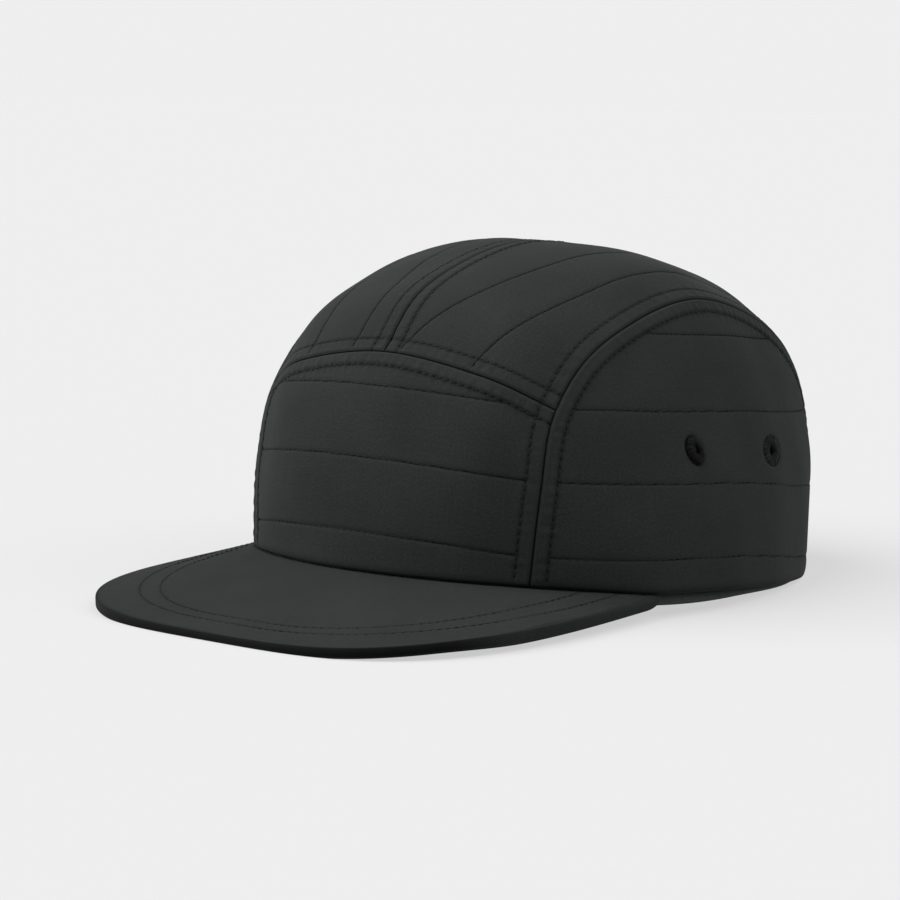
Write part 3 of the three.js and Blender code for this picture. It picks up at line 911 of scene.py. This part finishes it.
def band_piece(material):
    lines = band_lines()
    feet = lines[:, 0]
    angle = np.degrees(np.arctan2(np.abs(feet[:, 0]), -feet[:, 1]))
    show = BAND_SHOW * (1 - smooth(PEAK_END, BAND_SHOW_END, angle)) + hem_sag(feet[:, 1], BAND_SAG_END)
    run = run_of(feet)

    def ring(height, depth):
        at = np.empty_like(feet)
        for k, line in enumerate(lines):
            at[k, :2] = [np.interp(height[k], line[:, 2], line[:, axis]) for axis in (0, 1)]
        at[:, 2] = height
        return at - outward(at) * np.reshape(depth, (-1, 1))

    outer_depth = CLOTH + BAND_CLEARANCE
    half = BAND_THICKNESS / 2
    low, high = feet[:, 2] - show, np.full(len(feet), float(BAND_HEIGHT))
    rows = []
    for share in np.linspace(0, 1, 26):
        height = high + (low + half - high) * share
        puff = 0.12 * (1 + ripple(run, 9, SEEDS["band"])) * wave(share)
        rows.append(ring(height, outer_depth + puff))
    for turn in np.linspace(0, np.pi, 7)[1:-1]:
        rows.append(ring(low + half - half * math.sin(turn), outer_depth + half - half * math.cos(turn)))
    for share in np.linspace(0, 1, 22):
        height = low + half + (high - low - half) * share
        puff = 0.3 * wave(share) * (1 + 0.4 * ripple(run, 14, SEEDS["band"] + 1))
        rows.append(ring(height, outer_depth + BAND_THICKNESS + puff))
    loop = np.array(rows)
    faces = looped_faces(np.arange(loop[..., 0].size).reshape(loop.shape[:2]))
    across, up = np.meshgrid(run, run_of(loop.mean(1)))
    far = np.full(across.shape, FAR)
    # Painted shade on the band, deepest right under the hem and fading downward
    below = BAND_SHADE + BAND_SHADE_SLOPE * np.maximum(0, feet[None, :, 2] - loop[..., 2])
    fields = {
        "weave": np.stack([across, up, 0 * up], -1),
        "stitching_and_painted_shade": np.stack([across, far, below], -1),
        "quilting": np.stack([across, far, far], -1),
    }
    mesh_piece("inner_band", resting(loop), faces, material, ["sweatband"], fields)


# Eyelets

def eyelet_middle(u, v):
    """Middle of an eyelet on the left of the level crown, and the direction out of the cloth."""
    near = 0.01
    grid = side_surface(np.array([0, u - near, u, u + near, 1]), np.array([0, v - near, v, v + near, 1]))
    return grid[2, 2], normals_of(grid)[2, 2]


def leaning_axes(direction, lean):
    """Level and rising axes of an eyelet, turned by its lean."""
    level = unit(np.cross(direction, [0, 0, 1]))
    rise = np.cross(level, direction)
    return math.cos(lean) * level - math.sin(lean) * rise, math.sin(lean) * level + math.cos(lean) * rise


def eyelet_frame(u, v, hand):
    """Middle of an eyelet on the resting cap, in metres, and its direction out of the cloth."""
    middle, normal = eyelet_middle(u, v)
    pair = np.array([middle, middle + normal])
    foot, end = resting(pair if hand > 0 else mirrored(pair))
    return foot, unit(end - foot)


def eyelet_piece(name, node, foot, direction, stretch, lean, material, seed):
    """Ring of thread wrapped over the edge of a punched hole, stretched along its leaning axis."""
    barrel = EYELET_HOLE_RADIUS + EYELET_WALL
    lip = barrel + EYELET_LIP
    # Section of the ring: distance from the middle of the hole and height over the cloth
    profile = np.array([
        [EYELET_HOLE_RADIUS, -CLOTH], [barrel - 0.2, -CLOTH], [barrel - 0.1, -0.9], [barrel, -0.5],
        [lip - 0.5, -0.55], [lip, -0.3], [lip - 0.2, 0.12], [lip - 0.8, EYELET_RAISE * 0.72],
        [barrel - 0.2, EYELET_RAISE], [barrel - 1.1, EYELET_RAISE * 0.82],
        [EYELET_OPENING + 0.3, EYELET_RAISE * 0.2], [EYELET_OPENING, -0.5], [EYELET_OPENING + 0.2, -1.2],
    ])
    # How much of the thread's relief each point of the section takes
    showing = np.array([0, 0, 0, 0, 0.4, 1, 1, 1, 1, 1, 1, 0.7, 0.2])
    random = np.random.default_rng(seed)
    fine = 8
    steps = EYELET_WRAPS * fine
    turn = 2 * np.pi * np.arange(steps) / steps
    slant = EYELET_WRAP_SLANT * (profile[:, 0] - barrel) / EYELET_LIP
    phase = EYELET_WRAPS * (turn[:, None] / 2 + 0.06 * np.sin(3 * turn + seed)[:, None]) + slant[None]
    wraps = EYELET_WRAP_RELIEF * (np.abs(np.cos(phase)) ** 0.7 - 0.6)
    out = unit(profile - np.array([barrel - 0.1, -0.4]))
    reach = profile[None] + out[None] * (wraps * showing)[..., None]
    uneven = np.repeat(random.uniform(-0.05, 0.05, EYELET_WRAPS), fine)
    reach[..., 0] *= 1 + uneven[:, None] * showing[None]
    reach[..., 1] += 1.5 * np.roll(uneven, 3 * fine)[:, None] * showing[None]
    axis_x, axis_y = leaning_axes(direction, lean)
    wide = 1 + (stretch - 1) * showing[:, None]
    radial = np.cos(turn)[:, None, None] * axis_x * wide + np.sin(turn)[:, None, None] * axis_y
    points = foot + (reach[..., :1] * radial + reach[..., 1:] * direction) * MM
    faces = looped_faces(np.arange(points[..., 0].size).reshape(points.shape[:2]).T)
    mesh_piece(name, points, faces, material, [node])


def cut_hole(piece, foot, direction):
    """Punches an eyelet's hole through a panel."""
    radius = (EYELET_HOLE_RADIUS + EYELET_WALL - 0.05) * MM
    depth = 3 * CLOTH * MM
    steps = 48
    turn = 2 * np.pi * np.arange(steps) / steps
    axis_x = unit(np.cross(direction, [0, 0, 1]))
    axis_y = np.cross(direction, axis_x)
    circle = radius * (np.cos(turn)[:, None] * axis_x + np.sin(turn)[:, None] * axis_y)
    points = np.vstack([foot + circle - direction * depth, foot + circle + direction * depth])
    ring = np.arange(steps)
    after = np.roll(ring, -1)
    faces = np.stack([ring, after, after + steps, ring + steps], -1).tolist()
    faces += [ring[::-1].tolist(), (ring + steps).tolist()]
    mesh = bpy.data.meshes.new("punch")
    mesh.from_pydata(points.tolist(), [], faces)
    punch = add_object("punch", mesh)
    modifier = piece.modifiers.new("hole", "BOOLEAN")
    modifier.operation = "DIFFERENCE"
    modifier.object = punch
    modifier.solver = "MANIFOLD"
    bpy.context.view_layer.update()
    shaped = bpy.data.meshes.new_from_object(piece.evaluated_get(bpy.context.evaluated_depsgraph_get()))
    piece.modifiers.clear()
    old = piece.data
    piece.data = shaped
    shaped.name = old.name
    bpy.data.meshes.remove(old)
    bpy.data.objects.remove(punch)
    bpy.data.meshes.remove(mesh)


# Materials

# Cloth and thread, as shares of darkening by painted shade and by the dark seam line, gloss and heights
# in millimetres
SHEEN_ROUGHNESS = 0.4
SHEEN_TINT = (0.86, 0.9, 0.88, 1)
CLOTH_SHEEN = 0.05
CLOTH_GLOSS = 0.08
THREAD_SHEEN = 0.02
THREAD_GLOSS = 0.08
CREASE_PAINTED_SHADE = 0.85
SEAM_LINE_AND_PAINTED_SHADE = 0.97
GRAIN_RELIEF = 0.05
CREASE_RELIEF = 0.12
HOLE_RELIEF = 0.25
STRAND_RELIEF = 0.06

# Waves in one unit of Blender's wave texture
WAVES_PER_UNIT = 20 / (2 * math.pi)


class Nodes:
    """Short ways to add and join the nodes of a new material or world."""

    def __init__(self, block):
        block.use_nodes = True
        self.block = block
        self.tree = block.node_tree

    def put(self, name, inputs):
        """Sets a node's inputs, or links them where they are sockets."""
        node = self.tree.nodes[name]
        for key, value in inputs.items():
            if isinstance(value, bpy.types.NodeSocket):
                self.tree.links.new(value, node.inputs[key])
            else:
                node.inputs[key].default_value = value
        return node

    def add(self, kind, inputs={}, **settings):
        node = self.tree.nodes.new(kind)
        for key, value in settings.items():
            setattr(node, key, value)
        return self.put(node.name, inputs)

    def math(self, operation, first, second=0.0, third=0.0):
        inputs = {0: first, 1: second, 2: third}
        return self.add("ShaderNodeMath", inputs, operation=operation).outputs[0]

    def spread(self, value, from_low, from_high, to_low, to_high, kind="LINEAR"):
        inputs = {0: value, 1: from_low, 2: from_high, 3: to_low, 4: to_high}
        return self.add("ShaderNodeMapRange", inputs, interpolation_type=kind).outputs[0]

    def noise(self, vector, scale, detail=2.0):
        inputs = {"Vector": vector, "Scale": scale, "Detail": detail}
        return self.add("ShaderNodeTexNoise", inputs).outputs[0]

    def stretched(self, vector, scale):
        return self.add("ShaderNodeMapping", {"Vector": vector, "Scale": scale}).outputs[0]

    def attribute(self, name):
        return self.add("ShaderNodeAttribute", attribute_name=name).outputs["Vector"]

    def parts(self, vector):
        return self.add("ShaderNodeSeparateXYZ", {0: vector}).outputs

    def finish(self, colour, tone, roughness, height, sheen, gloss):
        tint = {"Factor": 1, 6: (*colour, 1), 7: tone}
        tinted = self.add("ShaderNodeMix", tint, data_type="RGBA", blend_type="MULTIPLY")
        bump = self.add("ShaderNodeBump", {"Height": height, "Distance": MM})
        self.put("Principled BSDF", {
            "Base Color": tinted.outputs[2],
            "Roughness": roughness,
            "Normal": bump.outputs[0],
            "Sheen Roughness": SHEEN_ROUGHNESS,
            "Sheen Tint": SHEEN_TINT,
            "Sheen Weight": sheen,
            "Specular IOR Level": gloss,
        })
        return self.block


def woven(name, colour, pitch, relief, row_painted_shade=0.3, hole_painted_shade=0.85):
    """Plain woven cloth with quilting creases and needle holes, and painted shade in the creases, the
    holes, the channels beside stitch rows and where its fields mark it. Its fields count millimetres.
    """
    nodes = Nodes(bpy.data.materials.new(name))
    weave = nodes.attribute("weave")
    waves = {"Vector": weave, "Scale": 1 / pitch / WAVES_PER_UNIT}
    waves |= {"Distortion": 0.6, "Detail": 1.0, "Detail Scale": 0.4}
    bands = [nodes.add("ShaderNodeTexWave", waves, bands_direction=way).outputs["Fac"] for way in "XY"]
    cloth = nodes.math("MAXIMUM", *bands)
    grain = nodes.noise(weave, 1.3, 3.0)
    mottling = nodes.noise(weave, 0.035, 3.0)
    warp = nodes.noise(nodes.stretched(weave, (2.4, 0.06, 1)), 1.0)
    weft = nodes.noise(nodes.stretched(weave, (0.06, 2.4, 1)), 1.0)
    tone = nodes.spread(mottling, 0.3, 0.7, 0.9, 1.1)
    tone = nodes.math("MULTIPLY", tone, nodes.spread(grain, 0.25, 0.75, 0.75, 1.25))
    threads = nodes.spread(nodes.math("ADD", warp, weft), 0.7, 1.3, 0.93, 1.07)
    tone = nodes.math("MULTIPLY", tone, threads)
    along, beside, _ = nodes.parts(nodes.attribute("quilting"))
    crease = nodes.spread(beside, 0.08, 0.42, 1.0, 0.0, "SMOOTHSTEP")
    run, row, seam = nodes.parts(nodes.attribute("stitching_and_painted_shade"))
    holes = []
    for place_on, distance, width in ((run, row, 0.5), (along, beside, 0.34)):
        turns = nodes.math("MULTIPLY", place_on, 2 * math.pi / STITCH_PITCH)
        spot = nodes.spread(nodes.math("COSINE", turns), 0.5, 0.85, 0.0, 1.0, "SMOOTHSTEP")
        near = nodes.spread(distance, 0.4 * width, width, 1.0, 0.0, "SMOOTHSTEP")
        holes.append(nodes.math("MULTIPLY", spot, near))
    hole = nodes.math("MAXIMUM", *holes)
    # Painted shade: darker in the quilting creases, in the needle holes and beside the stitch rows; the
    # seam field adds the cloth's own dark seam line and painted shade at hems, eyelets, the peak's rim
    # and lip and the band
    dark = nodes.math("MULTIPLY", crease, CREASE_PAINTED_SHADE)
    shade_beside_row = nodes.spread(row, 0.3, 1.5, row_painted_shade, 0.0, "SMOOTHSTEP")
    seam_line_and_shade = nodes.spread(seam, 0.05, 0.45, SEAM_LINE_AND_PAINTED_SHADE, 0.0, "SMOOTHSTEP")
    for other in (nodes.math("MULTIPLY", hole, hole_painted_shade), shade_beside_row, seam_line_and_shade):
        dark = nodes.math("MAXIMUM", dark, other)
    tone = nodes.math("MULTIPLY", tone, nodes.math("SUBTRACT", 1.0, dark))
    height = nodes.math("MULTIPLY", cloth, relief)
    for part, rise in ((grain, GRAIN_RELIEF), (crease, -CREASE_RELIEF), (hole, -HOLE_RELIEF)):
        height = nodes.math("MULTIPLY_ADD", part, rise, height)
    roughness = nodes.spread(grain, 0.2, 0.8, 0.78, 0.92)
    return nodes.finish(colour, tone, roughness, height, CLOTH_SHEEN, CLOTH_GLOSS)


def thread(name, colour):
    """Twisted sewing thread."""
    nodes = Nodes(bpy.data.materials.new(name))
    place_on = nodes.add("ShaderNodeTexCoord").outputs["Object"]
    fibres = nodes.noise(place_on, 2600.0, 3.0)
    strands = nodes.noise(nodes.stretched(place_on, (900, 900, 2600)), 1.0)
    tone = nodes.spread(nodes.math("ADD", fibres, strands), 0.7, 1.3, 0.8, 1.2)
    roughness = nodes.spread(fibres, 0.2, 0.8, 0.5, 0.75)
    height = nodes.math("MULTIPLY", strands, STRAND_RELIEF)
    return nodes.finish(colour, tone, roughness, height, THREAD_SHEEN, THREAD_GLOSS)


# Studio

PHOTO = 900
SENSOR = 36
VIEW_AZIMUTH = 37.82
VIEW_ELEVATION = 6.58
VIEW_ROLL = 0.78
VIEW_DISTANCE = 0.9167
VIEW_TARGET = (0, 0.00107, 0.05706)
PIXELS_PER_MM = 3.0046
MIDDLE_PIXEL = (479.5, 414.1)

# The studio is pale up to a little above the horizon, under a dark ceiling, on a floor lit from below
BACKGROUND = 0.8585
CEILING = 0
HORIZON = (0.12, 0.3)
FROM_BELOW = 0.45
FLOOR_TONE = 0.2
FLOOR_GLOW = 0.5625
FLOOR_HALF = 30
FLOOR_GAP = 0.0001

# Soft lights: azimuth and elevation in degrees, strength, and how many degrees wide they are
LIGHTS = {
    "left": (VIEW_AZIMUTH - 80, 50, 3.67, 60),
    "low_left": (VIEW_AZIMUTH - 115, 22, 0.77, 60),
    "right": (VIEW_AZIMUTH + 80, 50, 1.87, 60),
}


def add_camera():
    data = bpy.data.cameras.new("camera")
    camera = add_object("camera", data)
    azimuth, elevation, turn = [math.radians(a) for a in (VIEW_AZIMUTH, VIEW_ELEVATION, VIEW_ROLL)]
    flat = math.cos(elevation)
    back = np.array([math.sin(azimuth) * flat, -math.cos(azimuth) * flat, math.sin(elevation)])
    right = np.array([math.cos(azimuth), math.sin(azimuth), 0])
    up = np.cross(back, right)
    across = math.cos(turn) * right + math.sin(turn) * up
    upright = -math.sin(turn) * right + math.cos(turn) * up
    stand = np.array(VIEW_TARGET) + VIEW_DISTANCE * back
    columns = np.array([across, upright, back, stand])
    camera.matrix_world = Matrix([*columns.T.tolist(), [0, 0, 0, 1]])
    data.sensor_width = SENSOR
    data.lens = PIXELS_PER_MM * VIEW_DISTANCE / MM / PHOTO * SENSOR
    data.shift_x = (PHOTO / 2 - MIDDLE_PIXEL[0]) / PHOTO
    data.shift_y = (MIDDLE_PIXEL[1] - PHOTO / 2) / PHOTO
    data.clip_end = 100
    bpy.context.scene.camera = camera


def add_sun(name, azimuth, elevation, strength, softness):
    """Soft light from an azimuth counted like the camera's, and an elevation, in degrees."""
    data = bpy.data.lights.new(name, "SUN")
    data.energy = strength
    data.angle = math.radians(softness)
    sun = add_object(name, data)
    sun.rotation_euler = (math.radians(90 - elevation), 0, math.radians(azimuth))


def add_studio():
    mesh = bpy.data.meshes.new("floor")
    corners = [(-1, -1), (1, -1), (1, 1), (-1, 1)]
    mesh.from_pydata([(FLOOR_HALF * x, FLOOR_HALF * y, 0) for x, y in corners], [], [[0, 1, 2, 3]])
    floor = add_object("floor", mesh)
    floor.location.z = -FLOOR_GAP
    paper = Nodes(bpy.data.materials.new("paper"))
    paper.put("Principled BSDF", {
        "Base Color": (*[FLOOR_TONE] * 3, 1),
        "Roughness": 1,
        "Specular IOR Level": 0,
        "Emission Color": (1, 1, 1, 1),
        "Emission Strength": FLOOR_GLOW,
    })
    mesh.materials.append(paper.block)
    floor.visible_diffuse = False
    floor.visible_glossy = False
    floor.visible_shadow = False
    sky = Nodes(bpy.data.worlds.new("studio"))
    around = sky.add("ShaderNodeTexCoord").outputs["Generated"]
    height = sky.add("ShaderNodeSeparateXYZ", {0: around}).outputs["Z"]
    shades = {0: height, 1: HORIZON[0], 2: HORIZON[1], 3: BACKGROUND, 4: CEILING}
    shade = sky.add("ShaderNodeMapRange", shades, interpolation_type="SMOOTHSTEP").outputs[0]
    above = sky.add("ShaderNodeMath", {0: height, 1: -HORIZON[0]}, operation="GREATER_THAN").outputs[0]
    joined = sky.add("ShaderNodeMix", {0: above, 2: FROM_BELOW, 3: shade}).outputs[0]
    sky.put("Background", {"Color": joined})
    bpy.context.scene.world = sky.block
    bpy.context.scene.view_settings.view_transform = "Standard"
    for name, light in LIGHTS.items():
        add_sun(name, *light)


# Assembly

quilted_cloth = woven("quilted_cloth", (0.0211, 0.0231, 0.0224), 0.42, 0.035)
# The peak's cloth is the crown's cloth painted darker, for shade on the peak, with less painted shade
# beside its rows and in its holes
peak_cloth = woven("peak_cloth", (0.0173, 0.019, 0.0184), 0.42, 0.035, 0.08, 0.5)
band_cloth = woven("band_cloth", (0.042, 0.0458, 0.0446), 0.6, 0.05)
sewing_thread = thread("sewing_thread", (0.0125, 0.0136, 0.0131))
eyelet_thread = thread("eyelet_thread", (0.005, 0.0054, 0.0053))

add_camera()
add_studio()

front_seams = [whole_front_line, corner_line, mirrored(corner_line)]
front = Panel("front", front_surface, front_seams, wall_quilts, SEEDS["front"])
front.build("front_cloth", "front_panel", quilted_cloth)
topstitches, quilting = panel_rows(front)

eyelets = []
for u, v, stretch, lean in EYELETS.values():
    middle, direction = eyelet_middle(u, v)
    eyelets.append((middle, leaning_axes(direction, math.radians(lean))[0], stretch))

for hand, sign in (("left", 1), ("right", -1)):
    seed = SEEDS[hand]
    top = Panel("top", top_surface, [centre_line, front_line, arch_line], top_quilts(hand), seed)
    top.build(f"top_cloth_{hand}", f"top_panel_{hand}", quilted_cloth, sign)
    side = Panel("side", side_surface, [side_line], wall_quilts, seed + SEEDS["side"], eyelets)
    cloth = side.build(f"side_cloth_{hand}", f"side_panel_{hand}", quilted_cloth, sign)
    for panel in (top, side):
        sewn, padded = panel_rows(panel, sign)
        topstitches += sewn
        quilting += padded
    for k, (name, (u, v, stretch, lean)) in enumerate(EYELETS.items()):
        foot, direction = eyelet_frame(u, v, sign)
        cut_hole(cloth, foot, direction)
        node = f"eyelet_{hand}_{name}"
        lean = sign * math.radians(lean)
        eyelet_piece(f"sewn_{node}", node, foot, direction, stretch, lean, eyelet_thread, seed + k)

peak_sewing = [squared_oval(*row, 4 * DENSE) for row in PEAK_ROWS]
peak_piece(peak_sewing, peak_cloth)
band_piece(band_cloth)
stitches("topstitching", topstitches, sewing_thread, THREAD_RADIUS, 1)
stitches("quilting_thread", quilting, sewing_thread, 0.7 * THREAD_RADIUS, 2)
stitches("peak_stitching", peak_rows(peak_sewing), sewing_thread, THREAD_RADIUS, 3)
